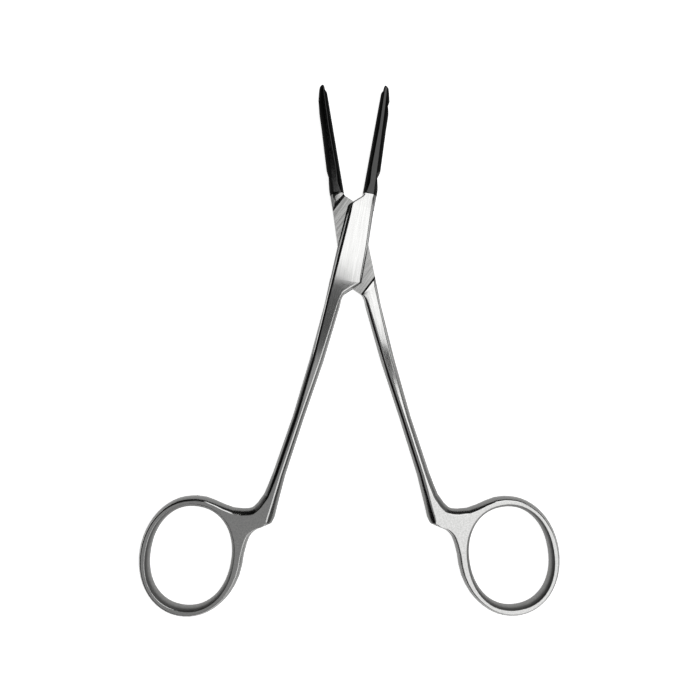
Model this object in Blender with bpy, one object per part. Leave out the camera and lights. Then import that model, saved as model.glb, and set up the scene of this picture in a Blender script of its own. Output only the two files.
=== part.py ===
"""Ring-handled forceps with a box lock and coated jaws, lying flat and part open.

Metres. +Y runs towards the jaws, +Z up. The origin is where the pivot's axis meets the underside
of the box. Each arm is drawn closed, in its own frame: the pivot at the origin, +Y towards the tip,
the jaw on +X and the shank on -X. The tang arm is the mirror image of the box arm. At rest each arm
is turned open about the pivot.
"""

import math

import bmesh
import bpy
from mathutils import Matrix, Vector
from mathutils.geometry import interpolate_bezier

# Opening
REST_OPENING_DEG = 9.95
CLOSED_JAW_GAP = 0.0001

# Jaws
JAW_LENGTH = 0.0413
JAW_ROOT_WIDTH = 0.0036
JAW_NOTCH_WIDTH = 0.0034
JAW_MID_WIDTH = 0.00295
JAW_TIP_WIDTH = 0.0020
JAW_ROOT_FLAT = 0.0017
JAW_NOTCH_FLAT = 0.0014
JAW_MID_FLAT = 0.0008
JAW_TIP_FLAT = 0.0005
JAW_MID_REACH = 0.0300
JAW_ROOT_RISE = 0.0008
JAW_NOTCH_RISE = 0.0020

# Nose of each jaw. Drops are from the tip, and the inside of the nose is set back by a step.
NOSE_LENGTH = 0.0016
NOSE_APEX_OFFSET = 0.0006
NOSE_SETBACK = 0.00034
NOSE_STEP_DROP = 0.00145
NOSE_STEP_LENGTH = 0.0007
NOSE_FLAT_DROP = 0.0008
NOSE_BOW_DEG = 36.0

# Notches across the outside of each jaw, deep on the box arm and shallow on the tang arm
NOTCH_DEPTH = 0.0009
NOTCH_RISE = 0.0048
NOTCH_UPPER_RUN = 0.0016
NOTCH_LOWER_RUN = 0.0031
TIP_NOTCH_DEPTH = 0.0006
TIP_NOTCH_SETBACK = 0.0049
TIP_NOTCH_UPPER_RUN = 0.0011
TIP_NOTCH_LOWER_RUN = 0.0021
TANG_NOTCH_DEPTH = 0.0003
TANG_TIP_NOTCH_DEPTH = 0.00015
NOTCH_TILT_DEG = 15.0

# Coat
COAT_THICKNESS = 0.00025
COAT_FIT = 0.0001
COAT_EDGE_RISE = 0.0005
COAT_SEAT_LENGTH = 0.0010
COAT_NOSE_THICKNESS = 0.0009

# Box lock
BOX_HALF_WIDTH = 0.0039
BOX_THICKNESS = 0.0050
BOX_CHEEK_REACH = 0.0093
BOX_CHEEK_ANGLE_DEG = 42.8
BOX_CHEEK_STRIP = 0.0004
BOX_SIDE_STRIP = 0.0006
BOX_BACK_STRIP = 0.0011
BOX_HEAD_NARROWING = 0.0006
BOX_CORNER_RUN = 0.0006
BOX_FRONT_STRIP = 0.0008
BOX_ROOT_STRIP = 0.00055
LOCK_CORNER_RUN = 0.0003
CLOSED_SHANK_GAP = 0.0003
WEB_THICKNESS = 0.0020
SLIDE_CLEARANCE = 0.0001
SHOULDER_CLEARANCE = 0.0003
SHOULDER_FILLET = 0.0005

# Pivot rivet
RIVET_RADIUS = 0.0014
RIVET_SEAT_CLEARANCE = 0.00003
RIVET_RUNNING_CLEARANCE = 0.00006

# Shanks
SHANK_TOP_DROP = 0.0033
SHANK_TOP_OFFSET = 0.00247
SHANK_TOP_WIDTH = 0.0040
SHANK_TOP_FLAT = 0.0028
SHANK_UPPER_REACH = 0.0300
SHANK_UPPER_OFFSET = 0.00381
SHANK_UPPER_WIDTH = 0.0036
SHANK_UPPER_FLAT = 0.0019
SHANK_WAIST_RISE = 0.0272
SHANK_WAIST_OFFSET = 0.00576
SHANK_WAIST_WIDTH = 0.00295
SHANK_WAIST_FLAT = 0.0011
SHANK_FOOT_RISE = 0.0122
SHANK_FOOT_OFFSET = 0.00795
SHANK_FOOT_WIDTH = 0.00325
SHANK_FOOT_FLAT = 0.0010

# Heel and neck between shank and finger ring. Rises and drops are from the heel's corner.
HEEL_REACH = 0.0721
HEEL_OFFSET = 0.00735
HEEL_CORNER_RUN = 0.0004
HEEL_SIDE_RISE = 0.0039
HEEL_SIDE_SWING = 0.0004
HEEL_SIDE_STRIP = 0.0015
HEEL_SOLE_LENGTH = 0.0017
HEEL_SOLE_DROP = 0.0012
HEEL_SOLE_STRIP = 0.0004
HEEL_BEND_OFFSET = 0.0110
HEEL_BEND_DROP = 0.0025
HEEL_HOLLOW_OFFSET = 0.0121
HEEL_HOLLOW_DROP = 0.0039
HEEL_HOLLOW_STRIP = 0.0007
HEEL_RING_DROP = 0.0064
NECK_FILLET_RADIUS = 0.0036
NECK_FILLET_RISE = 0.0057
NECK_FILLET_OFFSET = 0.0152
NECK_STRIP = 0.0013

# Finger rings
RING_OFFSET = 0.0260
RING_DROP = 0.01185
FINGER_HOLE_WIDTH = 0.0202
FINGER_HOLE_LENGTH = 0.0250
FINGER_HOLE_SQUARENESS = 2.15
RING_WALL = 0.00265
RING_NEAR_THICKENING = 0.0003
RING_SQUARENESS = 2.05
RING_OUTER_STRIP = 0.0007
RING_INNER_STRIP = 0.0009

# Thickness along an arm
JAW_TIP_THICKNESS = 0.0026
NOSE_THINNING = 0.0003
JAW_ROOT_THICKNESS = 0.0046
BOX_FOOT_THINNING = 0.0001
SHANK_TOP_THICKNESS = 0.0045
SHANK_UPPER_THICKNESS = 0.0039
SHANK_WAIST_THICKNESS = 0.0035
RING_THICKNESS = 0.0036

# Facets
SIDE_STEPS = 3
SIDE_SLOPE_DEG = 58.0
FACET_ANGLE_DEG = 8.0
FINGER_HOLE_FACETS = 56
RIVET_FACETS = 32

HALF_BOX = BOX_THICKNESS / 2
HALF_CLOSED_GAP = CLOSED_JAW_GAP / 2
LOCK_END_REACH = BOX_CHEEK_REACH / math.cos(math.radians(BOX_CHEEK_ANGLE_DEG))
COAT_EDGE_REACH = LOCK_END_REACH + COAT_EDGE_RISE
NOTCH_REACH = COAT_EDGE_REACH + NOTCH_RISE
TIP_NOTCH_REACH = JAW_LENGTH - TIP_NOTCH_SETBACK
SHANK_TOP_REACH = LOCK_END_REACH + SHANK_TOP_DROP
SHANK_WAIST_REACH = HEEL_REACH - SHANK_WAIST_RISE
SHANK_FOOT_REACH = HEEL_REACH - SHANK_FOOT_RISE
RING_REACH = HEEL_REACH + RING_DROP
CUTTER_MARGIN = 0.0020
NOTCH_OVERRUN = 1.2
INSET_CORNER_LIMIT = 0.5
STEEL = {"colour": (0.62, 0.62, 0.60), "roughness": 0.28, "metallic": 1.0}
COATING = {"colour": (0.012, 0.012, 0.013), "roughness": 0.42, "metallic": 0.0}


def clear_scene():
    for obj in list(bpy.data.objects):
        bpy.data.objects.remove(obj, do_unlink=True)


def new_collection(name):
    collection = bpy.data.collections.new(name)
    bpy.context.scene.collection.children.link(collection)
    return collection


def new_material(name, look):
    material = bpy.data.materials.new(name)
    material.use_nodes = True
    shader = material.node_tree.nodes["Principled BSDF"]
    shader.inputs["Base Color"].default_value = (*look["colour"], 1.0)
    shader.inputs["Roughness"].default_value = look["roughness"]
    shader.inputs["Metallic"].default_value = look["metallic"]
    return material


def add_object(name, bm, collection, material=None):
    bmesh.ops.recalc_face_normals(bm, faces=bm.faces[:])
    mesh = bpy.data.meshes.new(name)
    bm.to_mesh(mesh)
    bm.free()
    obj = bpy.data.objects.new(name, mesh)
    collection.objects.link(obj)
    if material:
        mesh.materials.append(material)
        mesh.shade_smooth()
        mesh.set_sharp_from_angle(angle=math.radians(25))
    else:
        obj.hide_render = True
        obj.display_type = "WIRE"
    return obj


def add_boolean(obj, operation, other):
    modifier = obj.modifiers.new(f"{operation.title()} {other.name}", "BOOLEAN")
    modifier.operation = operation
    modifier.solver = "EXACT"
    modifier.object = other


# Outlines. A point is (widest line, edge of the flat, how the line runs through it), on one arm.

SMOOTH = "smooth"
LINE_ENDS = "a straight line ends here"
LINE_STARTS = "a straight line starts here"


def edge_point(x, y, flat_x, flat_y, run=SMOOTH):
    return Vector((x, y)), Vector((flat_x, flat_y)), run


def along(point, angle, distance):
    return point + distance * Vector((math.cos(angle), math.sin(angle)))


def cheek_line(side, strip, x):
    """Y on one of the box's two slanted edges: side 1 is towards the jaw, -1 towards the shank."""
    angle = math.radians(BOX_CHEEK_ANGLE_DEG)
    return side * (BOX_CHEEK_REACH - strip) / math.cos(angle) + x * math.tan(angle)


def on_cheek(side, x, flat_x, run):
    """A point of the outline on a slanted edge."""
    return edge_point(x, cheek_line(side, 0, x), flat_x, cheek_line(side, BOX_CHEEK_STRIP, flat_x), run)


def jaw_stations():
    """Reach, width and width of the flat along a jaw."""
    return (
        (COAT_EDGE_REACH + JAW_ROOT_RISE, JAW_ROOT_WIDTH, JAW_ROOT_FLAT),
        (NOTCH_REACH + JAW_NOTCH_RISE, JAW_NOTCH_WIDTH, JAW_NOTCH_FLAT),
        (JAW_MID_REACH, JAW_MID_WIDTH, JAW_MID_FLAT),
        (JAW_LENGTH - NOSE_LENGTH, JAW_TIP_WIDTH, JAW_TIP_FLAT),
    )


def jaw_points():
    """The inside of the jaw from its tip down, then the outside from its root up."""
    inner = HALF_CLOSED_GAP
    inside, outside = [], []
    for reach, width, flat in jaw_stations():
        middle = inner + width / 2
        inside.append(edge_point(inner, reach, middle - flat / 2, reach))
        outside.append(edge_point(inner + width, reach, middle + flat / 2, reach))
    step = JAW_LENGTH - NOSE_STEP_DROP
    step_foot = step - NOSE_STEP_LENGTH
    flat_x = middle - flat / 2
    inside[-1] = edge_point(inner, step_foot, flat_x, step_foot, LINE_STARTS)
    inside.append(edge_point(inner + NOSE_SETBACK, step, flat_x, step))
    return inside[::-1], outside


def nose_points():
    """Over the nose, from the outside of the jaw to its inside."""
    base = HALF_CLOSED_GAP + NOSE_SETBACK
    apex = HALF_CLOSED_GAP + NOSE_APEX_OFFSET
    outer = HALF_CLOSED_GAP + JAW_TIP_WIDTH
    middle = HALF_CLOSED_GAP + JAW_TIP_WIDTH / 2
    flat_end = JAW_LENGTH - NOSE_FLAT_DROP
    bow = math.sin(math.radians(NOSE_BOW_DEG))
    side = math.cos(math.radians(NOSE_BOW_DEG))
    bow_y = JAW_LENGTH - NOSE_LENGTH * (1 - side)
    return [
        edge_point(apex + (outer - apex) * bow, bow_y, middle + JAW_TIP_FLAT / 3, flat_end),
        edge_point(apex, JAW_LENGTH, middle, flat_end),
        edge_point((base + apex) / 2, bow_y, middle - JAW_TIP_FLAT / 3, flat_end),
    ]


def box_back_points():
    """From the jaw's inside down the slanted edge to the corner, then along the back of the box."""
    run = LOCK_CORNER_RUN
    root_x = HALF_CLOSED_GAP
    root_y = cheek_line(1, 0, root_x) + run
    corner_x = -BOX_HALF_WIDTH + BOX_HEAD_NARROWING
    corner_y = cheek_line(1, 0, corner_x)
    flat_x = corner_x + BOX_BACK_STRIP
    flat_y = cheek_line(1, BOX_CHEEK_STRIP, flat_x)
    return [
        edge_point(root_x, root_y, root_x + BOX_ROOT_STRIP, root_y, LINE_ENDS),
        on_cheek(1, root_x - run, root_x, LINE_STARTS),
        on_cheek(1, corner_x + BOX_CORNER_RUN, flat_x + BOX_CORNER_RUN, LINE_ENDS),
        edge_point(corner_x, corner_y - BOX_CORNER_RUN, flat_x, flat_y - BOX_CORNER_RUN, LINE_STARTS),
        edge_point(-BOX_HALF_WIDTH, 0.0, -BOX_HALF_WIDTH + BOX_BACK_STRIP, 0.0),
    ]


def box_front_points():
    """From the shank's inside up the slanted edge to the corner, then the front of the box."""
    run = LOCK_CORNER_RUN
    foot_x = -CLOSED_SHANK_GAP / 2
    foot_y = cheek_line(-1, 0, foot_x) - run
    corner_x = BOX_HALF_WIDTH
    corner_y = cheek_line(-1, 0, corner_x)
    flat_x = corner_x - BOX_SIDE_STRIP
    flat_y = cheek_line(-1, BOX_CHEEK_STRIP, flat_x)
    return [
        edge_point(foot_x, foot_y, foot_x - run, foot_y),
        on_cheek(-1, foot_x + run, foot_x + run, LINE_STARTS),
        on_cheek(-1, corner_x - run, flat_x - run, LINE_ENDS),
        edge_point(corner_x, corner_y + run, flat_x, flat_y + run, LINE_STARTS),
        edge_point(corner_x, 0.0, flat_x, 0.0, LINE_ENDS),
        edge_point(
            HALF_CLOSED_GAP + JAW_ROOT_WIDTH, BOX_CHEEK_REACH,
            HALF_CLOSED_GAP + JAW_ROOT_WIDTH - BOX_FRONT_STRIP, BOX_CHEEK_REACH,
        ),
    ]


def shank_points():
    """Both sides of the shank, from the box down."""
    stations = (
        (SHANK_TOP_REACH, SHANK_TOP_OFFSET, SHANK_TOP_WIDTH, SHANK_TOP_FLAT),
        (SHANK_UPPER_REACH, SHANK_UPPER_OFFSET, SHANK_UPPER_WIDTH, SHANK_UPPER_FLAT),
        (SHANK_WAIST_REACH, SHANK_WAIST_OFFSET, SHANK_WAIST_WIDTH, SHANK_WAIST_FLAT),
        (SHANK_FOOT_REACH, SHANK_FOOT_OFFSET, SHANK_FOOT_WIDTH, SHANK_FOOT_FLAT),
    )
    outside, inside = [], []
    for reach, offset, width, flat in stations:
        outside.append(edge_point(-offset - width / 2, -reach, -offset - flat / 2, -reach))
        inside.append(edge_point(-offset + width / 2, -reach, -offset + flat / 2, -reach))
    return outside, inside


def neck_points():
    """The hollow between the shank's outside and the top of the finger ring."""
    centre = Vector((-NECK_FILLET_OFFSET, NECK_FILLET_RISE - HEEL_REACH))
    found = []
    for degrees in (335, 305, 270):
        angle = math.radians(degrees)
        wide = along(centre, angle, NECK_FILLET_RADIUS)
        flat = along(centre, angle, NECK_FILLET_RADIUS + NECK_STRIP)
        found.append((wide, flat, SMOOTH))
    return found


def oval_point(angle, margin, squareness):
    """On the oval that lies this far outside the finger hole."""
    half_width = FINGER_HOLE_WIDTH / 2 + margin
    half_length = FINGER_HOLE_LENGTH / 2 + margin
    round_shares = (math.cos(angle), math.sin(angle))
    x, y = (math.copysign(abs(share) ** (2 / squareness), share) for share in round_shares)
    return Vector((-RING_OFFSET + half_width * x, -RING_REACH + half_length * y))


def ring_points():
    """Round the outside of the finger ring, from its top past the far side to the near side."""
    angles = (*range(95, 315, 20), 313, 332, 350)
    thickening = {332: RING_NEAR_THICKENING / 2, 350: RING_NEAR_THICKENING}
    found = []
    for degrees in angles:
        angle = math.radians(degrees)
        wall = RING_WALL + thickening.get(degrees, 0.0)
        wide = oval_point(angle, wall, RING_SQUARENESS)
        flat = oval_point(angle, wall - RING_OUTER_STRIP, RING_SQUARENESS)
        found.append((wide, flat, SMOOTH))
    return found


def heel_points():
    """From the near side of the ring to the heel's corner and round onto the shank's inside."""
    near_x = -RING_OFFSET + FINGER_HOLE_WIDTH / 2 + RING_WALL + RING_NEAR_THICKENING
    heel_x, heel_y = -HEEL_OFFSET, -HEEL_REACH
    run = HEEL_CORNER_RUN
    side_x = heel_x + HEEL_SIDE_SWING
    flat_x = heel_x - HEEL_SIDE_STRIP
    sole = HEEL_SOLE_STRIP
    hollow = HEEL_HOLLOW_STRIP
    ring_y = heel_y - HEEL_RING_DROP
    hollow_y = heel_y - HEEL_HOLLOW_DROP
    bend_y = heel_y - HEEL_BEND_DROP
    sole_y = heel_y - HEEL_SOLE_DROP
    return [
        edge_point(near_x + run / 2, ring_y, near_x + run / 2 - hollow, ring_y),
        edge_point(-HEEL_HOLLOW_OFFSET, hollow_y, -HEEL_HOLLOW_OFFSET - hollow, hollow_y + hollow / 4),
        edge_point(-HEEL_BEND_OFFSET, bend_y, -HEEL_BEND_OFFSET - sole, bend_y + sole),
        edge_point(heel_x - HEEL_SOLE_LENGTH, sole_y, flat_x - sole, sole_y + sole, LINE_STARTS),
        edge_point(heel_x - run, heel_y - run, flat_x, heel_y - sole / 2, LINE_ENDS),
        edge_point(heel_x, heel_y + run, flat_x, heel_y + sole),
        edge_point(side_x, heel_y + HEEL_SIDE_RISE, side_x - HEEL_SIDE_STRIP, heel_y + HEEL_SIDE_RISE),
    ]


def arm_outline():
    jaw_inside, jaw_outside = jaw_points()
    shank_outside, shank_inside = shank_points()
    return (
        jaw_inside
        + box_back_points()
        + shank_outside
        + neck_points()
        + ring_points()
        + heel_points()
        + shank_inside[::-1]
        + box_front_points()
        + jaw_outside
        + nose_points()
    )


def handles(points, runs):
    """The Bezier handles before and after each point."""
    found = []
    for i, here in enumerate(points):
        before, after = here - points[i - 1], points[(i + 1) % len(points)] - here
        back, ahead = before.length, after.length
        entering = before.normalized()
        leaving = after.normalized()
        if runs[i] == LINE_ENDS:
            leaving = entering
        elif runs[i] == LINE_STARTS:
            entering = leaving
        else:
            entering = leaving = (entering * ahead + leaving * back).normalized()
        found.append((here - entering * back / 3, here + leaving * ahead / 3))
    return found


def turning(points, ends, i):
    """How far the curve from point i to the next one turns, in degrees."""
    j = (i + 1) % len(points)
    chord = points[j] - points[i]
    start, end = ends[i][1] - points[i], points[j] - ends[j][0]
    return math.degrees(start.angle(chord) + chord.angle(end))


def sampled(outline):
    """The widest line and the edge of the flat, each as as many points."""
    runs = [run for _, _, run in outline]
    curves = [[point[k] for point in outline] for k in (0, 1)]
    ends = [handles(points, runs) for points in curves]
    loops = [[], []]
    for i in range(len(outline)):
        j = (i + 1) % len(outline)
        turn = max(turning(curves[k], ends[k], i) for k in (0, 1))
        steps = max(1, math.ceil(turn / FACET_ANGLE_DEG))
        for k in (0, 1):
            curve = interpolate_bezier(curves[k][i], ends[k][i][1], ends[k][j][0], curves[k][j], steps + 1)
            loops[k] += [point.to_2d() for point in curve[:-1]]
    return loops


def jaw_outside(reach):
    """X of the widest line on the outside of the jaw, where the outline runs towards the tip."""
    wide, _ = sampled(arm_outline())
    for i, here in enumerate(wide):
        ahead = wide[(i + 1) % len(wide)]
        if here.y <= reach < ahead.y:
            return here.x + (ahead.x - here.x) * (reach - here.y) / (ahead.y - here.y)
    return HALF_CLOSED_GAP + JAW_TIP_WIDTH


def inset_jaw(loop, inset):
    """The same line with the jaw's share of it moved inwards all round, by the same distance."""
    found = []
    for i, here in enumerate(loop):
        if here.y < BOX_CHEEK_REACH:
            found.append(here)
            continue
        before = (here - loop[i - 1]).normalized()
        after = (loop[(i + 1) % len(loop)] - here).normalized()
        along_line = (before + after).normalized()
        inwards = Vector((-along_line.y, along_line.x))
        found.append(here + inwards * inset / max(along_line.dot(after), INSET_CORNER_LIMIT))
    return found


def finger_hole():
    """The hole's narrowest line, at half thickness, and the edge of the flat round it."""
    angles = [2 * math.pi * i / FINGER_HOLE_FACETS for i in range(FINGER_HOLE_FACETS)]
    margins = (0.0, RING_INNER_STRIP)
    return [[oval_point(angle, margin, FINGER_HOLE_SQUARENESS) for angle in angles] for margin in margins]


# Plates


def side_profile():
    """How far in, and how high, each line of the rounded side lies, from the lower flat to the upper."""
    slope = math.radians(SIDE_SLOPE_DEG)
    rising = [slope * i / SIDE_STEPS for i in range(-SIDE_STEPS, SIDE_STEPS + 1)]
    return [((1 - math.cos(a)) / (1 - math.cos(slope)), math.sin(a) / math.sin(slope)) for a in rising]


def add_wall(bm, loops):
    """The rounded side between two flats, as quads from line to line. Its rims are returned."""
    wide, flat = loops
    rows = []
    for inward, height in side_profile():
        rows.append([bm.verts.new((*w.lerp(f, inward), height)) for w, f in zip(wide, flat)])
    count = len(wide)
    for lower, upper in zip(rows, rows[1:]):
        for i in range(count):
            j = (i + 1) % count
            bm.faces.new((lower[i], lower[j], upper[j], upper[i]))
    return [[bm.edges.get((row[i], row[i - 1])) for i in range(count)] for row in (rows[0], rows[-1])]


def thickness_stations():
    return (
        (-RING_REACH, RING_THICKNESS),
        (-HEEL_REACH + HEEL_RING_DROP, RING_THICKNESS),
        (-SHANK_FOOT_REACH, SHANK_WAIST_THICKNESS),
        (-SHANK_WAIST_REACH, SHANK_WAIST_THICKNESS),
        (-SHANK_UPPER_REACH, SHANK_UPPER_THICKNESS),
        (-SHANK_TOP_REACH, SHANK_TOP_THICKNESS),
        (-BOX_CHEEK_REACH, BOX_THICKNESS - BOX_FOOT_THINNING),
        (-BOX_CHEEK_REACH / 2, BOX_THICKNESS),
        (BOX_CHEEK_REACH, BOX_THICKNESS),
        (COAT_EDGE_REACH + JAW_ROOT_RISE / 2, JAW_ROOT_THICKNESS),
        (JAW_LENGTH - NOSE_LENGTH, JAW_TIP_THICKNESS),
        (JAW_LENGTH, JAW_TIP_THICKNESS - NOSE_THINNING),
    )


def half_thickness(reach):
    stations = thickness_stations()
    for (low, thin), (high, thick) in zip(stations, stations[1:]):
        if reach <= high:
            share = max(0.0, (reach - low) / (high - low))
            return (thin + (thick - thin) * share) / 2
    return stations[-1][1] / 2


def slice_across(bm, reach, keep=0):
    """Cuts across the arm at one reach. keep 1 leaves the part towards the tip, -1 the other part."""
    geometry = bm.verts[:] + bm.edges[:] + bm.faces[:]
    cut = bmesh.ops.bisect_plane(
        bm, geom=geometry, dist=1e-7, plane_co=(0, reach, 0), plane_no=(0, 1, 0),
        clear_inner=keep > 0, clear_outer=keep < 0,
    )
    if keep:
        rim = [item for item in cut["geom_cut"] if isinstance(item, bmesh.types.BMEdge)]
        bmesh.ops.triangle_fill(bm, edges=rim, use_beauty=True)


def arm_plate(jaw_inset=0.0, keep=0, reach=COAT_EDGE_REACH):
    """An arm, or its part on one side of a reach, with its rounded sides and finger hole."""
    bm = bmesh.new()
    wide, flat = sampled(arm_outline())
    outer = add_wall(bm, (inset_jaw(wide, jaw_inset), flat))
    inner = add_wall(bm, finger_hole())
    for outer_rim, inner_rim in zip(outer, inner):
        bmesh.ops.triangle_fill(bm, edges=outer_rim + inner_rim, use_beauty=True)
    for station, _ in thickness_stations()[1:-1]:
        slice_across(bm, station)
    for vert in bm.verts:
        vert.co.z *= half_thickness(vert.co.y) - jaw_inset
    if jaw_inset:
        # a line of points where the bare steel ends, so that steel and core meet along whole edges
        slice_across(bm, COAT_EDGE_REACH)
        slice_across(bm, JAW_LENGTH - COAT_NOSE_THICKNESS, keep=-1)
    if keep:
        slice_across(bm, reach, keep)
    bmesh.ops.dissolve_degenerate(bm, dist=1e-7, edges=bm.edges[:])
    return bm


def mirrored(bm):
    bmesh.ops.scale(bm, vec=(-1, 1, 1), verts=bm.verts[:])
    bmesh.ops.reverse_faces(bm, faces=bm.faces[:])
    return bm


# Cutters, each drawn on the box arm


def prism(points, low, high):
    bm = bmesh.new()
    face = bm.faces.new([bm.verts.new((x, y, low)) for x, y in points])
    lifted = bmesh.ops.extrude_face_region(bm, geom=[face])["geom"]
    verts = [item for item in lifted if isinstance(item, bmesh.types.BMVert)]
    bmesh.ops.translate(bm, vec=(0, 0, high - low), verts=verts)
    return bm


def lock_pocket(low, high, fillet_at=()):
    """The room between two shoulders that the other arm's slanted edges meet when closed."""
    wide = 3 * BOX_HALF_WIDTH
    reach = -SHOULDER_CLEARANCE
    points = [
        (wide, cheek_line(1, reach, wide)),
        (-wide, cheek_line(1, reach, -wide)),
        (-wide, cheek_line(-1, reach, -wide)),
        (wide, cheek_line(-1, reach, wide)),
    ]
    bm = prism(points, low, high)
    edges = [
        edge for edge in bm.edges
        if all(any(abs(v.co.z - z) < 1e-6 for z in fillet_at) for v in edge.verts)
        and abs(edge.verts[0].co.x - edge.verts[1].co.x) > wide
    ]
    if edges:
        bmesh.ops.bevel(
            bm, geom=edges, offset=SHOULDER_FILLET, offset_type="OFFSET", affect="EDGES",
            segments=3, profile=0.5, material=-1,
        )
    return bm


def pin(radius, length):
    bm = bmesh.new()
    bmesh.ops.create_cone(
        bm, cap_ends=True, segments=RIVET_FACETS, radius1=radius, radius2=radius, depth=length,
    )
    return bm


def jaw_notches(side):
    """Label, reach, depth, and how far the notch runs towards the tip and the root."""
    depth, tip_depth = NOTCH_DEPTH, TIP_NOTCH_DEPTH
    if side > 0:
        depth, tip_depth = TANG_NOTCH_DEPTH, TANG_TIP_NOTCH_DEPTH
    return (
        ("root", NOTCH_REACH, depth, NOTCH_UPPER_RUN, NOTCH_LOWER_RUN),
        ("tip", TIP_NOTCH_REACH, tip_depth, TIP_NOTCH_UPPER_RUN, TIP_NOTCH_LOWER_RUN),
    )


def notch(reach, depth, upper_run, lower_run, shift):
    """A slanted V across the outside of a jaw, shifted inwards for what lies under the coat."""
    line = jaw_outside(reach) - shift
    bottom = Vector((line - depth, 0))
    far = line + CUTTER_MARGIN
    points = [bottom]
    for run in (-lower_run, upper_run):
        rim = Vector((jaw_outside(reach + run) - shift, run))
        past = bottom.lerp(rim, NOTCH_OVERRUN)
        points += [past, Vector((far, past.y))]
    ordered = (points[0], points[1], points[2], points[4], points[3])
    tilt = Matrix.Rotation(math.radians(-NOTCH_TILT_DEG), 3, "X")
    bm = prism(ordered, -JAW_ROOT_THICKNESS, JAW_ROOT_THICKNESS)
    bmesh.ops.rotate(bm, cent=(0, 0, 0), matrix=tilt, verts=bm.verts[:])
    bmesh.ops.translate(bm, vec=(0, reach, 0), verts=bm.verts[:])
    return bm


def flipped(bm):
    """Turned over about the arm's long axis, as the tang arm is to the box arm."""
    bmesh.ops.rotate(bm, cent=(0, 0, 0), matrix=Matrix.Rotation(math.pi, 3, "Y"), verts=bm.verts[:])
    return bm


# Parts


def place(obj, side):
    obj.location = (0, 0, HALF_BOX)
    obj.rotation_euler = (0, 0, side * math.radians(REST_OPENING_DEG))


def notch_all(obj, name, shift, hand, side, cutters):
    for label, *sizes in jaw_notches(side):
        cutter = add_object(f"{name}_{label}_notch", hand(notch(*sizes, shift)), cutters)
        place(cutter, side)
        add_boolean(obj, "DIFFERENCE", cutter)


def as_drawn(bm):
    return bm


def build_arm(name, side, steel, parts, cutters):
    """One arm without its coat: the box arm on side -1, the tang arm, mirrored, on side 1."""
    shape = mirrored if side > 0 else as_drawn
    turn = flipped if side > 0 else as_drawn
    under_coat = COAT_THICKNESS + COAT_FIT
    core_reach = COAT_EDGE_REACH - COAT_SEAT_LENGTH
    arm = add_object(name, shape(arm_plate(0.0, keep=-1)), parts, steel)
    place(arm, side)
    core = add_object(f"{name}_jaw_core", shape(arm_plate(under_coat, keep=1, reach=core_reach)), cutters)
    place(core, side)
    notch_all(core, f"{name}_core", under_coat, turn, side, cutters)
    add_boolean(arm, "UNION", core)
    return arm


def build_coat(name, arm, side, coating, parts, cutters):
    """The coat on one jaw, open at its root over the steel."""
    shape = mirrored if side > 0 else as_drawn
    turn = flipped if side > 0 else as_drawn
    inside_reach = COAT_EDGE_REACH - COAT_SEAT_LENGTH
    outer = shape(arm_plate(0.0, keep=1, reach=COAT_EDGE_REACH + COAT_FIT))
    inner = shape(arm_plate(COAT_THICKNESS, keep=1, reach=inside_reach))
    coat = add_object(name, outer, parts, coating)
    cavity = add_object(f"{name}_inside", inner, cutters)
    for obj in (coat, cavity):
        place(obj, side)
    notch_all(coat, name, 0.0, turn, side, cutters)
    notch_all(cavity, f"{name}_inside", COAT_THICKNESS, turn, side, cutters)
    add_boolean(coat, "DIFFERENCE", cavity)
    coat.parent = arm
    coat.matrix_parent_inverse = Matrix.Identity(4)
    coat.location = (0, 0, 0)
    coat.rotation_euler = (0, 0, 0)
    return coat


def main():
    clear_scene()
    parts = new_collection("Coated-tip forceps")
    cutters = new_collection("Cutters")
    steel = new_material("Satin stainless steel", STEEL)
    coating = new_material("Black coating", COATING)

    box_arm = build_arm("box_arm", -1, steel, parts, cutters)
    tang_arm = build_arm("tang_arm", 1, steel, parts, cutters)
    build_coat("box_jaw_coat", box_arm, -1, coating, parts, cutters)
    build_coat("tang_jaw_coat", tang_arm, 1, coating, parts, cutters)

    half_web = WEB_THICKNESS / 2
    half_slot = half_web + SLIDE_CLEARANCE
    slot = add_object("box_slot", mirrored(lock_pocket(-half_slot, half_slot)), cutters)
    place(slot, -1)
    add_boolean(box_arm, "DIFFERENCE", slot)
    for label, low, high in (("upper", half_web, BOX_THICKNESS), ("lower", -BOX_THICKNESS, -half_web)):
        floor = half_web if label == "upper" else -half_web
        recess = add_object(f"tang_{label}_recess", lock_pocket(low, high, (floor,)), cutters)
        place(recess, 1)
        add_boolean(tang_arm, "DIFFERENCE", recess)

    through = 2 * BOX_THICKNESS
    seat = add_object("rivet_seat", pin(RIVET_RADIUS + RIVET_SEAT_CLEARANCE, through), cutters)
    place(seat, -1)
    add_boolean(box_arm, "DIFFERENCE", seat)
    bearing = add_object("rivet_bearing", pin(RIVET_RADIUS + RIVET_RUNNING_CLEARANCE, through), cutters)
    place(bearing, 1)
    add_boolean(tang_arm, "DIFFERENCE", bearing)
    rivet = add_object("pivot_rivet", pin(RIVET_RADIUS, BOX_THICKNESS), parts, steel)
    rivet.parent = box_arm


main()
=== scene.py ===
import math

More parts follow.
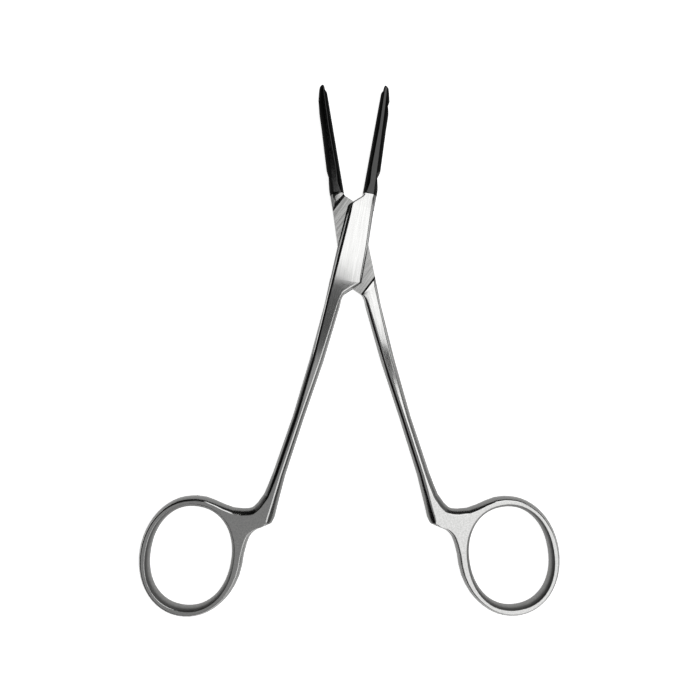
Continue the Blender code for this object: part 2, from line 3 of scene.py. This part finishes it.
import bmesh
import bpy
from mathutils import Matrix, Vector


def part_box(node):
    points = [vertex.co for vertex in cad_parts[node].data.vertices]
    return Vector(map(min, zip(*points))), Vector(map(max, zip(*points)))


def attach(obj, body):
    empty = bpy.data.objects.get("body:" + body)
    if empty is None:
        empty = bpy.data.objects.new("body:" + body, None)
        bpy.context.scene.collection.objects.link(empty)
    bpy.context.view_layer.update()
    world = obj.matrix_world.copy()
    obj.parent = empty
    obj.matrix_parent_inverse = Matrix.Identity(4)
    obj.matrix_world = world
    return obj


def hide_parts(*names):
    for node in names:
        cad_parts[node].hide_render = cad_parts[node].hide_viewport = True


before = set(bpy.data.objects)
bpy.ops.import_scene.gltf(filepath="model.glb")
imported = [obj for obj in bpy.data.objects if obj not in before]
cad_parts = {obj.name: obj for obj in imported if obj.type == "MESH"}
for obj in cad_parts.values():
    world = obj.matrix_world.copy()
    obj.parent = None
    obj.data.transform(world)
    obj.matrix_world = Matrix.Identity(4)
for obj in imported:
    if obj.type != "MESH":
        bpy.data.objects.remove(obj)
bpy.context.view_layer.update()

mm = 0.001
openAngle = 9.95  # degrees that each arm stands from the middle line in the resting pose


def linearColour(hexColour):
    # sRGB hex to the linear values that a shader takes
    channels = [int(hexColour[i:i + 2], 16) / 255 for i in (1, 3, 5)]
    linear = [c / 12.92 if c <= 0.04045 else ((c + 0.055) / 1.055) ** 2.4 for c in channels]
    return (*linear, 1.0)


def addNode(tree, kind, settings=None, inputs=None):
    # inputs may be plain values or the sockets that feed them
    node = tree.nodes.new(kind)
    for name, value in (settings or {}).items():
        setattr(node, name, value)
    for name, value in (inputs or {}).items():
        socket = node.inputs[name]
        if isinstance(value, bpy.types.NodeSocket):
            tree.links.new(value, socket)
        else:
            socket.default_value = value
    return node


def addMath(tree, operation, *values):
    node = addNode(tree, "ShaderNodeMath", {"operation": operation}, dict(enumerate(values)))
    return node.outputs[0]


def addDot(tree, first, second):
    node = addNode(
        tree, "ShaderNodeVectorMath", {"operation": "DOT_PRODUCT"}, {0: first, 1: second})
    return node.outputs["Value"]


def addNoise(tree, place, scale, detail=2.0):
    return addNode(tree, "ShaderNodeTexNoise", None, {
        "Vector": place, "Scale": scale, "Detail": detail, "Roughness": 0.5}).outputs["Fac"]


def addRange(tree, value, reach, result=(0.0, 1.0), smooth=False):
    # a value inside reach comes out inside result
    interpolation = "SMOOTHSTEP" if smooth else "LINEAR"
    return addNode(tree, "ShaderNodeMapRange", {"interpolation_type": interpolation}, {
        "Value": value, "From Min": reach[0], "From Max": reach[1],
        "To Min": result[0], "To Max": result[1]}).outputs["Result"]


def addMix(tree, share, first, second, blend="MIX"):
    return addNode(tree, "ShaderNodeMix", {"data_type": "RGBA", "blend_type": blend}, {
        0: share, 6: first, 7: second}).outputs[2]


def emptyMaterial(name):
    material = bpy.data.materials.new(name)
    material.use_nodes = True
    material.node_tree.nodes.clear()
    return material


def showSurface(tree, shader):
    addNode(tree, "ShaderNodeOutputMaterial", None, {"Surface": shader.outputs[0]})


# Stainless steel, hardened. The flats are ground on a fine belt and then brushed, so they carry
# short streaks along the arm and a soft, satin gloss. The sides are blasted, coarsest in the finger
# holes, and the arrises beside the flats are polished bright. The sides and the walls of the finger
# holes are coloured darker than the flats: painted shade, for the shaded table beside the arms that
# they mirror. The floors inside the lock are milled across, and the hollows at the foot of its
# shoulders are coloured near black: painted shade, for the shadow that falls into them.
steelSettings = {
    "streakWidth": 0.36 * mm,  # belt lines are about 0.02 mm wide, drawn coarser so that they show
    "streakLength": 9 * mm,
    "speckleSize": 0.40 * mm,
    "blasting": (-40 * mm, -72 * mm),  # the box and the shanks are not blasted, the rings fully
    "upperSpeckle": 0.08,      # share of the speckle on the box and the shanks
    "ringStreaks": 0.25,       # share of the streaks on the rings
    "grain": (-0.4, 0.4),      # streaks and speckle together, from their lowest to their highest
    "tints": (0.82, 1.14),     # the share of the colour there
    "roughening": (1.3, 0.75),  # the share of the roughness there
    "grainHeight": 0.02 * mm,
    "grainStrength": 0.10,
    "waveSize": 14 * mm,
    "waveStrength": 0.5,
}

# what each finish looks like: colour, roughness, how strong the streaks and the speckle are, how
# high the slow waves in the surface are, and how far the streaks are turned from the arm's line
steelFinishes = {
    "flat": {"kind": "Satin ground steel", "colour": "#CFCFCE", "roughness": 0.10,
             "streaks": 0.8, "speckle": 1.0, "waves": 0.22 * mm, "turn": 0},
    # the sides' darker colour is painted shade, for the shaded table that they mirror
    "side": {"kind": "Blasted steel", "colour": "#767675", "roughness": 0.26,
             "streaks": 0.3, "speckle": 0.6, "waves": 0.10 * mm, "turn": 0},
    "lockFloor": {"kind": "Milled steel", "colour": "#A0A09F", "roughness": 0.26,
                  "streaks": 1.6, "speckle": 0.2, "waves": 0.05 * mm, "turn": -47},
    # painted shade: the hollows at the foot of the lock's shoulders are coloured near black for the
    # shadow in them
    "hollow": {"kind": "Unground steel", "colour": "#383838", "roughness": 0.35,
               "streaks": 0.2, "speckle": 0.6, "waves": 0.05 * mm, "turn": 0},
    # the hole walls' darker colour is painted shade too
    "hole": {"kind": "Coarsely blasted steel", "colour": "#7C7C7B", "roughness": 0.44,
             "streaks": 0.2, "speckle": 0.6, "waves": 0.10 * mm, "turn": 0},
    "arris": {"kind": "Polished steel", "colour": "#C8C8C7", "roughness": 0.14,
              "streaks": 0.2, "speckle": 0.2, "waves": 0.05 * mm, "turn": 0},
}
flatIndex, shadedSideIndex, lockFloorIndex, shadedHollowIndex, shadedHoleIndex, arrisIndex = range(6)


def steelMaterial(label, finish, armAngle):
    s = steelSettings
    material = emptyMaterial(finish["kind"] + ", " + label)
    tree = material.node_tree
    place = addNode(tree, "ShaderNodeTexCoord").outputs["Object"]
    turned = addNode(tree, "ShaderNodeMapping", None, {
        "Vector": place, "Rotation": (0, 0, math.radians(-armAngle - finish["turn"]))})
    drawn = addNode(tree, "ShaderNodeMapping", None, {
        "Vector": turned.outputs["Vector"],
        "Scale": (1 / s["streakWidth"], 1 / s["streakLength"], 1 / s["streakWidth"])})
    streaks = addNoise(tree, drawn.outputs["Vector"], 1.0)
    speckle = addNoise(tree, place, 1 / s["speckleSize"])
    waves = addNoise(tree, place, 1 / s["waveSize"], 1.0)
    along = addNode(tree, "ShaderNodeSeparateXYZ", None, {0: place}).outputs["Y"]
    strongSpeckle, strongStreaks = finish["speckle"], finish["streaks"]
    speckleShare = addRange(
        tree, along, s["blasting"], (s["upperSpeckle"] * strongSpeckle, strongSpeckle), smooth=True)
    streakShare = addRange(
        tree, along, s["blasting"], (strongStreaks, s["ringStreaks"] * strongStreaks), smooth=True)
    streakRise = addMath(tree, "MULTIPLY", addMath(tree, "SUBTRACT", streaks, 0.5), streakShare)
    speckleRise = addMath(tree, "SUBTRACT", speckle, 0.5)
    grain = addMath(tree, "MULTIPLY_ADD", speckleRise, speckleShare, streakRise)
    tint = addRange(tree, grain, s["grain"], s["tints"])
    base = addMix(tree, 1.0, linearColour(finish["colour"]), tint, "MULTIPLY")
    roughnesses = [finish["roughness"] * share for share in s["roughening"]]
    rough = addRange(tree, grain, s["grain"], roughnesses)
    fine = addNode(tree, "ShaderNodeBump", None, {
        "Height": grain, "Strength": s["grainStrength"], "Distance": s["grainHeight"]})
    bump = addNode(tree, "ShaderNodeBump", None, {
        "Height": waves, "Strength": s["waveStrength"], "Distance": finish["waves"],
        "Normal": fine.outputs["Normal"]})
    shader = addNode(tree, "ShaderNodeBsdfPrincipled", None, {
        "Base Color": base, "Metallic": 1.0, "Roughness": rough, "Normal": bump.outputs["Normal"]})
    showSurface(tree, shader)
    return material


armSettings = {
    "mergeDistance": 0.02 * mm,
    "joinAngle": 0.15,             # degrees: faces that differ by less are joined into one
    "groundFlat": 0.985,           # how upright the normal of a ground flat stands, at least
    "roundedSide": (0.05, 0.95),   # the same for the side beside an arris, at least and at most
    "shoulderTilt": 0.3,           # the same for the slanted shoulders in the lock, at least
    "bridgeWidth": 0.005 * mm,     # points this near to the line across a hole lie on it
    "bridgeSlack": 0.006 * mm,     # the same, for points made by the cut along it
    "arrisHeight": 1.1 * mm,       # from the middle plane, at least
    "arrisRounding": 0.62 * mm,    # the widest rounding
    "narrowest": 0.001 * mm,       # a rounding below this is left out
    "longestStretch": 1.5 * mm,    # longer stretches of an arris get this many cuts
    "stretchCuts": 3,
    "westShare": 0.80,             # of that rounding, on the sides of the box that face west
    "slimWestShare": 0.90,         # the same where the shanks are slim
    "eastShare": 0.50,             # on the sides that face east
    "westTurn": (-0.3, 0.3),       # how far west a side faces as the one share gives way
    "slimming": (-14 * mm, -30 * mm),  # from the box to the slim shanks
    "ringShare": 0.40,             # round the finger rings and the heels
    "holeShare": 0.16,             # round the finger holes
    "ringReach": (-58 * mm, -68 * mm),  # from the shanks to the rings
    "slantShare": 0.75,            # at the slanted ends of the box
    "slantTurn": (0.3, 0.6),       # how far these face along the arm
    "jawRootShare": 0.40,          # beyond the lock
    "jawRoot": (8.5 * mm, 10.5 * mm),  # from the lock to the coat's edge
    "tangentReach": 0.5 * mm,      # a line's direction is taken over this length each way
    "roomShare": 0.9,              # of the side's uppermost facet, at most
    "cornerTurn": 24,              # degrees: a line that turns by more has a corner there
    "cornerRounding": 0.07 * mm,
    "taper": 0.5,                  # how fast the rounding may widen along the line
    "seatReach": 2 * mm,           # the pivot's hole lies within this of the axis
    "seatGap": 0.002 * mm,         # the rivet is peened and ground over, so that no seam shows
    "roundingSteps": 5,
    "sharpAngle": 31,              # degrees: edges that turn by more are shaded sharp
    "lockReach": 16 * mm,          # the lock lies within this of the pivot
    "lockFloorHeight": 1.7 * mm,   # from the middle plane to the floors inside the lock, at most
}
noLength = 1e-9  # metres: a shorter step has no direction
ringCentre = (40.1 * mm, -78.2 * mm)  # of each finger hole, in the resting pose


def mergedCopy(nodeName):
    # the CAD node's triangles joined up, with flat areas as single faces
    bm = bmesh.new()
    bm.from_mesh(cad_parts[nodeName].data)
    bmesh.ops.remove_doubles(bm, verts=bm.verts[:], dist=armSettings["mergeDistance"])
    bmesh.ops.dissolve_limit(
        bm, angle_limit=math.radians(armSettings["joinAngle"]), verts=bm.verts[:],
        edges=bm.edges[:], delimit={"NORMAL"})
    return bm


def isFlat(face):
    return abs(face.normal.z) > armSettings["groundFlat"]


def bridgeHole(bm, y):
    # a flat with a hole in it is left as two halves that meet along this line
    a = armSettings
    faces = [face for face in bm.faces if isFlat(face)]
    edges = list(dict.fromkeys(edge for face in faces for edge in face.edges))
    verts = list(dict.fromkeys(vertex for face in faces for vertex in face.verts))
    bmesh.ops.bisect_plane(
        bm, geom=verts + edges + faces, dist=a["bridgeWidth"],
        plane_co=(0, y, 0), plane_no=(0, 1, 0))
    old = []
    for edge in bm.edges:
        onLine = all(abs(vertex.co.y - y) < a["bridgeSlack"] for vertex in edge.verts)
        inFlat = len(edge.link_faces) == 2 and all(isFlat(face) for face in edge.link_faces)
        if inFlat and not onLine and edgeAngle(edge) < a["joinAngle"]:
            old.append(edge)
    bmesh.ops.dissolve_edges(bm, edges=old, use_verts=False, use_face_split=False)


def edgeAngle(edge):
    return math.degrees(edge.calc_face_angle())


def outerArrises(bm, middle):
    # the convex edges between an outer flat and a rounded side, each as it runs round the flat
    a = armSettings
    lowest, highest = a["roundedSide"]
    found = {}
    for face in bm.faces:
        if not isFlat(face):
            continue
        for loop in face.loops:
            edge = loop.edge
            if len(edge.link_faces) != 2 or not edge.is_convex:
                continue
            side = edge.link_faces[0] if edge.link_faces[1] == face else edge.link_faces[1]
            height = abs((edge.verts[0].co.z + edge.verts[1].co.z) / 2 - middle)
            if lowest < abs(side.normal.z) < highest and height > a["arrisHeight"]:
                found[loop.vert] = (loop.link_loop_next.vert, face, side)
    return found


def arrisChains(following):
    # lines of vertices, closed ones with the first vertex again at the end
    aheads = {ahead for ahead, _, _ in following.values()}
    starts = [vertex for vertex in following if vertex not in aheads]
    left = dict(following)
    chains = []
    while left:
        here = next((vertex for vertex in starts if vertex in left), None) or next(iter(left))
        chain = [here]
        while here in left:
            here = left.pop(here)[0]
            chain.append(here)
        chains.append(chain)
    return chains


def between(reach, value):
    # 0 at the one end of reach, 1 at the other, smooth in the middle
    low, high = reach
    share = min(1.0, max(0.0, (value - low) / (high - low)))
    return share * share * (3 - 2 * share)


def chainPlace(points, reaches, closed, reach):
    # a point on the line, at this length along it
    total = reaches[-1]
    reach = reach % total if closed else min(total, max(0.0, reach))
    for i in range(1, len(points)):
        if reach <= reaches[i]:
            step = reaches[i] - reaches[i - 1]
            return points[i - 1].lerp(points[i], (reach - reaches[i - 1]) / step if step else 0.0)
    return points[-1]


def turnFrom(step, tangent):
    return step.angle(tangent, 0.0) if step.length > noLength else 0.0


def chainFrames(chain, following, points, reaches, widthAt):
    # for each vertex the ways inward on the flat and down the side, and the rounding's width
    a = armSettings
    closed = chain[0] == chain[-1]
    frames, widths = [], []
    for i, vertex in enumerate(chain):
        _, flat, side = following.get(vertex) or following[chain[i - 1]]
        near = [face for face in vertex.link_faces
                if not isFlat(face) and abs(face.normal.z) > a["roundedSide"][0]] or [side]
        sideNormal = sum((face.normal for face in near), Vector()).normalized()
        back = chainPlace(points, reaches, closed, reaches[i] - a["tangentReach"])
        ahead = chainPlace(points, reaches, closed, reaches[i] + a["tangentReach"])
        tangent = (ahead - back).normalized()
        turn = turnFrom(points[i] - back, tangent) + turnFrom(ahead - points[i], tangent)
        inward = flat.normal.cross(tangent).normalized()
        down = tangent.cross(sideNormal).normalized()
        room = min(max((u.co - vertex.co).dot(down) for u in face.verts) for face in near)
        width = min(widthAt(vertex.co, sideNormal), a["roomShare"] * max(room, 0.0))
        if math.degrees(turn) > a["cornerTurn"]:
            width = min(width, a["cornerRounding"])
        if not closed and i in (0, len(chain) - 1):
            width = 0.0
        frames.append((inward, down))
        widths.append(width)
    return frames, widths


def arrisArcs(chain, following, widthAt):
    # for each vertex of the chain the points over the rounded arris, from the flat to the side
    a = armSettings
    closed = chain[0] == chain[-1]
    points = [vertex.co.copy() for vertex in chain]
    reaches = [0.0]
    for before, here in zip(points, points[1:]):
        reaches.append(reaches[-1] + (here - before).length)
    frames, widths = chainFrames(chain, following, points, reaches, widthAt)
    arcs = []
    for i, (vertex, (inward, down)) in enumerate(zip(chain, frames)):
        offset = widths[i]
        for j, other in enumerate(widths):
            apart = abs(reaches[j] - reaches[i])
            if closed:
                apart = min(apart, reaches[-1] - apart)
            offset = min(offset, other + a["taper"] * apart)
        if offset < a["narrowest"]:
            arcs.append(None)
            continue
        spread = inward.angle(down)
        centre = vertex.co + (inward + down).normalized() * offset / math.cos(spread / 2)
        first = vertex.co + inward * offset - centre
        last = vertex.co + down * offset - centre
        radius, first, last = first.length, first.normalized(), last.normalized()
        steps = a["roundingSteps"]
        arcs.append([centre + first.slerp(last, k / steps) * radius for k in range(steps + 1)])
    return arcs


def roundArrises(bm, middle, widthAt, arrisFinish):
    # a new mesh in which a narrow rounded strip lies between each outer flat and its side
    a = armSettings
    steps = a["roundingSteps"]
    found = outerArrises(bm, middle)
    arrises = [bm.edges.get((here, ahead)) for here, (ahead, _, _) in found.items()]
    stretched = [edge for edge in arrises if edge.calc_length() > a["longestStretch"]]
    bmesh.ops.bisect_edges(bm, edges=stretched, cuts=a["stretchCuts"])
    following = outerArrises(bm, middle)
    new = bmesh.new()
    kept = {vertex: new.verts.new(vertex.co) for vertex in bm.verts}
    rows = {}
    strips = []
    for chain in arrisChains(following):
        arcs = arrisArcs(chain, following, widthAt)
        for vertex, arc in zip(chain, arcs):
            if vertex not in rows:
                sharp = [kept[vertex]] * (steps + 1)
                rows[vertex] = [new.verts.new(point) for point in arc] if arc else sharp
        strips += zip(chain, chain[1:])
    for face in bm.faces:
        end = 0 if isFlat(face) else -1
        corners = [rows[vertex][end] if vertex in rows else kept[vertex] for vertex in face.verts]
        made = new.faces.new(corners)
        made.material_index = face.material_index
        made.smooth = True
    for here, ahead in strips:
        for k in range(steps):
            corners = [rows[here][k + 1], rows[ahead][k + 1], rows[ahead][k], rows[here][k]]
            corners = [v for i, v in enumerate(corners) if v not in corners[:i]]
            if len(corners) > 2:
                made = new.faces.new(corners)
                made.material_index = arrisFinish
                made.smooth = True
    lowest, highest = (pick(vertex.co.z for vertex in bm.verts) for pick in (min, max))
    for vertex in new.verts:
        vertex.co.z = min(highest, max(lowest, vertex.co.z))
    bm.free()
    loose = [vertex for vertex in new.verts if not vertex.link_faces]
    bmesh.ops.delete(new, geom=loose, context="VERTS")
    new.normal_update()
    for edge in new.edges:
        if len(edge.link_faces) == 2:
            edge.smooth = edgeAngle(edge) < a["sharpAngle"]
    print(len(strips), "stretches of arris rounded")
    return new


def facesHole(place, facing):
    # true on the wall of a finger hole
    fromHole = place.xy - Vector((math.copysign(ringCentre[0], place.x), ringCentre[1]))
    return place.y < armSettings["ringReach"][0] and fromHole.dot(facing.xy) < 0


def pickFinishes(bm, middle):
    a = armSettings
    for face in bm.faces:
        centre = face.calc_center_median()
        inLock = math.hypot(centre.x, centre.y) < a["lockReach"]
        low = abs(centre.z - middle) < a["lockFloorHeight"]
        if isFlat(face):
            face.material_index = lockFloorIndex if inLock and low else flatIndex
        elif inLock and low and abs(face.normal.z) > a["shoulderTilt"]:
            # slanted faces low in the lock take the near-black colour, which is painted shade
            face.material_index = shadedHollowIndex
        else:
            # sides and hole walls take the colours darkened with painted shade
            face.material_index = shadedHoleIndex if facesHole(centre, face.normal) else shadedSideIndex


def makePiece(name, bm, materials, nodeName, body):
    mesh = bpy.data.meshes.new(name)
    bm.to_mesh(mesh)
    bm.free()
    for material in materials:
        mesh.materials.append(material)
    piece = bpy.data.objects.new(name, mesh)
    bpy.context.scene.collection.objects.link(piece)
    normals = piece.modifiers.new("Normals", "WEIGHTED_NORMAL")
    normals.keep_sharp = True
    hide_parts(nodeName)
    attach(piece, body)
    print(name, "made with", len(mesh.polygons), "faces")


def armRounding(place, facing):
    a = armSettings
    slim = between(a["slimming"], place.y)
    west = a["westShare"] + (a["slimWestShare"] - a["westShare"]) * slim
    share = a["eastShare"] + (west - a["eastShare"]) * between(a["westTurn"], -facing.x)
    ringShare = a["holeShare"] if facesHole(place, facing) else a["ringShare"]
    share += (ringShare - share) * between(a["ringReach"], place.y)
    if abs(place.y) < a["lockReach"]:
        share += (a["slantShare"] - share) * between(a["slantTurn"], abs(facing.y))
    share += (a["jawRootShare"] - share) * between(a["jawRoot"], place.y)
    return a["arrisRounding"] * share


def tightenSeat(bm):
    # brings the wall of the rivet's hole up to the rivet
    radius = (rivetHigh[0] - rivetLow[0]) / 2 + armSettings["seatGap"]
    ring = [vertex for vertex in bm.verts if vertex.co.xy.length < armSettings["seatReach"]]
    widest = max(vertex.co.xy.length for vertex in ring)
    for vertex in ring:
        vertex.co.x *= radius / widest
        vertex.co.y *= radius / widest


boxSteels = [steelMaterial("box arm", finish, -openAngle) for finish in steelFinishes.values()]
tangSteels = [steelMaterial("tang arm", finish, openAngle) for finish in steelFinishes.values()]
boxLow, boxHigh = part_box("box_arm")
middlePlane = (boxLow[2] + boxHigh[2]) / 2
rivetLow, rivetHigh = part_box("pivot_rivet")
for name, nodeName, body, steels in (
        ("boxArm", "box_arm", "box_side", boxSteels),
        ("tangArm", "tang_arm", "tang_side", tangSteels)):
    bm = mergedCopy(nodeName)
    if nodeName == "box_arm":
        tightenSeat(bm)
    for y in (0, ringCentre[1]):
        bridgeHole(bm, y)
    pickFinishes(bm, middlePlane)
    bm = roundArrises(bm, middlePlane, armRounding, arrisIndex)
    makePiece(name, bm, steels, nodeName, body)

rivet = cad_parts["pivot_rivet"]
rivet.data.materials.clear()
rivet.data.materials.append(boxSteels[0])


# Black powder coating on the jaws: deep black and half matt, with a very fine orange peel that
# breaks up the gloss. It is smooth and glossy on the facets, where it is rubbed in use.
coatSettings = {
    "colour": "#020202",
    "highColour": "#040404",
    "peelSize": 0.30 * mm,
    "peel": (0.3, 0.7),           # the noise from its lowest to its highest
    "roughening": (-0.04, 0.06),  # added to the roughness there
    "peelHeight": 0.02 * mm,
    "peelStrength": 0.15,
    "facetTilt": 0.9,             # how upright the normal of a rubbed facet stands, at least
    "edgeRounding": 0.08 * mm,
}
coatFinishes = {
    "facet": {"kind": "Black powder coating, rubbed", "roughness": 0.10, "gloss": 0.75},
    "side": {"kind": "Black powder coating", "roughness": 0.60, "gloss": 0.05},
}
facetIndex, coatSideIndex = range(2)


def coatMaterial(finish):
    c = coatSettings
    material = emptyMaterial(finish["kind"])
    tree = material.node_tree
    place = addNode(tree, "ShaderNodeTexCoord").outputs["Object"]
    peel = addNoise(tree, place, 1 / c["peelSize"])
    roughnesses = [finish["roughness"] + change for change in c["roughening"]]
    rough = addRange(tree, peel, c["peel"], roughnesses)
    tint = addMix(tree, peel, linearColour(c["colour"]), linearColour(c["highColour"]))
    bump = addNode(tree, "ShaderNodeBump", None, {
        "Height": peel, "Strength": c["peelStrength"], "Distance": c["peelHeight"]})
    shader = addNode(tree, "ShaderNodeBsdfPrincipled", None, {
        "Base Color": tint, "Roughness": rough, "Specular IOR Level": finish["gloss"],
        "Normal": bump.outputs["Normal"]})
    showSurface(tree, shader)
    return material


coatings = [coatMaterial(finish) for finish in coatFinishes.values()]
for name, nodeName, body in (
        ("boxJawCoat", "box_jaw_coat", "box_side"),
        ("tangJawCoat", "tang_jaw_coat", "tang_side")):
    bm = mergedCopy(nodeName)
    for face in bm.faces:
        facet = abs(face.normal.z) > coatSettings["facetTilt"]
        face.material_index = facetIndex if facet else coatSideIndex
    edgeRounding = coatSettings["edgeRounding"]
    bm = roundArrises(bm, middlePlane, lambda place, facing: edgeRounding, facetIndex)
    makePiece(name, bm, coatings, nodeName, body)


floorSettings = {
    "colour": "#E6E6E6",
    "roughness": 0.9,
    "glow": 0.90,           # what the camera and reflections see beyond the lit colour
    "size": 3.0,
    "drop": 0.02 * mm,
}


def buildFloor():
    f = floorSettings
    material = emptyMaterial("Pale table")
    tree = material.node_tree
    path = addNode(tree, "ShaderNodeLightPath").outputs
    seen = addMath(tree, "MAXIMUM", path["Is Camera Ray"], path["Is Glossy Ray"])
    shown = addMath(tree, "MAXIMUM", seen, path["Is Transmission Ray"])
    glow = addMath(tree, "MULTIPLY", shown, f["glow"])
    shader = addNode(tree, "ShaderNodeBsdfPrincipled", None, {
        "Base Color": linearColour(f["colour"]), "Roughness": f["roughness"],
        "Specular IOR Level": 0.0, "Emission Color": (1, 1, 1, 1), "Emission Strength": glow})
    showSurface(tree, shader)
    bm = bmesh.new()
    bmesh.ops.create_grid(bm, x_segments=1, y_segments=1, size=f["size"] / 2)
    mesh = bpy.data.meshes.new("floor")
    bm.to_mesh(mesh)
    bm.free()
    mesh.materials.append(material)
    floor = bpy.data.objects.new("floor", mesh)
    floor.location.z = -f["drop"]
    bpy.context.scene.collection.objects.link(floor)


roomSettings = {
    "wallColour": "#6A6A6A",   # the lit foot of the walls
    "darkColour": "#0C0C0C",   # their dark upper part
    "highColour": "#2C2C2C",   # ceiling
    "footTop": (0.05, 0.24),   # the heights, as sines, over which one turns into the next
    "ceilingStart": (0.72, 0.87),
    "lean": 0.12,              # the ceiling's light reaches lower in the east than in the west
    "paleColour": "#A8A8A8",   # the wall south east of the table is pale all the way up
    "paleWay": (0.35, -0.94, 0),
    "paleEdge": (0.68, 0.86),
}


def buildRoom():
    r = roomSettings
    world = bpy.data.worlds.new("Studio")
    bpy.context.scene.world = world
    world.use_nodes = True
    tree = world.node_tree
    tree.nodes.clear()
    direction = addNode(tree, "ShaderNodeTexCoord").outputs["Generated"]
    height = addDot(tree, direction, (r["lean"], 0, 1 - r["lean"] ** 2 / 2))
    colour = linearColour(r["wallColour"])
    for along, edge, beyond in (
            (height, r["footTop"], r["darkColour"]),
            (height, r["ceilingStart"], r["highColour"]),
            (addDot(tree, direction, r["paleWay"]), r["paleEdge"], r["paleColour"])):
        share = addRange(tree, along, edge, smooth=True)
        colour = addMix(tree, share, colour, linearColour(beyond))
    background = addNode(tree, "ShaderNodeBackground", None, {"Color": colour, "Strength": 1.0})
    addNode(tree, "ShaderNodeOutputWorld", None, {"Surface": background.outputs[0]})


# Light panels level above the table, which the flats mirror: where each begins and ends, in mm, and
# its brightness, which is 1 for white. Towards the foot of the box they fade in five steps.
panelHeight = 450 * mm
lampSettings = {
    "boxPanel": {"x": (-60, 400), "y": (60, 128), "brightness": 1.55},
    "rootPanel": {"x": (-12, 20), "y": (128, 178), "brightness": 1.55},
    "jawPanel": {"x": (20, 400), "y": (128, 500), "brightness": 1.45},
    "footPanel": {"x": (3, 24), "y": (6, 60), "brightness": 1.40},
    "shankPanel": {"x": (24, 260), "y": (-42, 60), "brightness": 1.55},
    "lowerShankPanel": {"x": (46, 260), "y": (-162, -70), "brightness": 1.55},
    "ringPanel": {"x": (46, 500), "y": (-600, -162), "brightness": 1.16},
    "fadeOne": {"x": (-60, 5), "y": (48, 60), "brightness": 1.35},
    "fadeTwo": {"x": (-60, 5), "y": (38, 48), "brightness": 1.05},
    "fadeThree": {"x": (-60, 5), "y": (28, 38), "brightness": 0.68},
    "fadeFour": {"x": (-60, 5), "y": (18, 28), "brightness": 0.34},
    "fadeFive": {"x": (-60, 5), "y": (8, 18), "brightness": 0.16},
    "westNear": {"x": (-120, 3), "y": (-50, 8), "brightness": 0.08},
    "westPatch": {"x": (-120, 5), "y": (-90, -50), "brightness": 0.42},
    "westFar": {"x": (-260, 5), "y": (-650, -90), "brightness": 0.27},
}

# and one that stands upright in the east
sideLampSettings = {
    "x": 620 * mm,
    "y": (-350 * mm, 450 * mm),
    "z": (130 * mm, 520 * mm),
    "brightness": 0.35,
}


def addPanel(name, sizes, brightness):
    lamp = bpy.data.lights.new(name, "AREA")
    lamp.shape = "RECTANGLE"
    lamp.size, lamp.size_y = sizes
    lamp.energy = brightness * math.pi * lamp.size * lamp.size_y
    panel = bpy.data.objects.new(name, lamp)
    bpy.context.scene.collection.objects.link(panel)
    return panel


def buildLamps():
    for name, lampSize in lampSettings.items():
        (west, east), (south, north) = lampSize["x"], lampSize["y"]
        panel = addPanel(name, ((east - west) * mm, (north - south) * mm), lampSize["brightness"])
        panel.location = ((west + east) / 2 * mm, (south + north) / 2 * mm, panelHeight)
    s = sideLampSettings
    (south, north), (low, high) = s["y"], s["z"]
    panel = addPanel("sidePanel", (high - low, north - south), s["brightness"])
    panel.location = (s["x"], (south + north) / 2, (low + high) / 2)
    panel.rotation_euler.y = math.radians(90)


# Fitted to the photograph: close above the forceps, with a short lens. The turns are in degrees,
# the lens and the sensor's width in millimetres.
cameraSettings = {
    "place": (-4.30 * mm, -25.11 * mm, 153.81 * mm),
    "turn": (0.253, -1.247, 0.408),
    "lens": 30.815,
    "sensor": 36,
    "shift": (0.0024, -0.0111),
    "nearest": 5 * mm,
}


def buildCamera():
    c = cameraSettings
    camera = bpy.data.cameras.new("camera")
    camera.sensor_width = c["sensor"]
    camera.lens = c["lens"]
    camera.shift_x, camera.shift_y = c["shift"]
    camera.clip_start = c["nearest"]
    holder = bpy.data.objects.new("camera", camera)
    holder.location = c["place"]
    holder.rotation_euler = [math.radians(angle) for angle in c["turn"]]
    bpy.context.scene.collection.objects.link(holder)
    bpy.context.scene.camera = holder


buildFloor()
buildRoom()
buildLamps()
buildCamera()
bpy.context.scene.view_settings.view_transform = "Standard"
print("floor, room, lamps and camera made")
